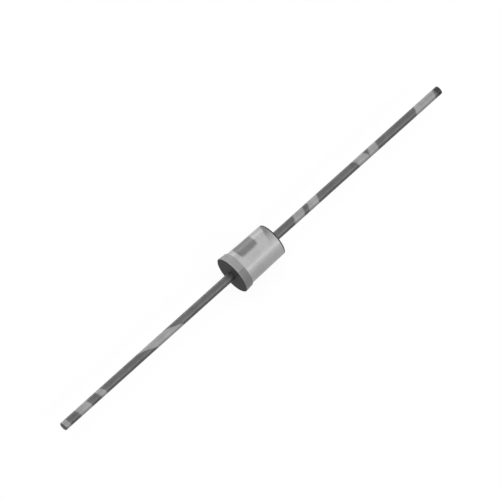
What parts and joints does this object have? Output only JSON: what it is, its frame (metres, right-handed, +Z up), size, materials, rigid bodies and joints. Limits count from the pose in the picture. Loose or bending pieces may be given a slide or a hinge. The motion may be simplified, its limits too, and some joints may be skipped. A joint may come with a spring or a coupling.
{
  "type": "axial rectifier diode",
  "caption": "Axial-lead power rectifier diode: drafted round moulding with a raised banded cathode collar and a long straight plated copper wire lead at each end.",
  "frame": {"origin": "middle of the moulding on the lead axis, where the die lies, halfway between the two lead tips", "axes": "+X along the lead axis from the banded cathode end towards the anode end, +Z up with the diode lying on its side"},
  "size_m": [0.0724, 0.0058, 0.0058],
  "materials": {
    "body": "satin",
    "band": "satin",
    "leads": "satin",
    "die": "gloss",
    "solder": "satin",
    "coating": "matte"
  },
  "bodies": {
    "root": {"body": "body", "cathode_band": "band", "cathode_lead": "leads", "anode_lead": "leads", "silicon_die": "die", "cathode_solder": "solder", "anode_solder": "solder", "junction_coating": "coating"}
  },
  "joints": []
}
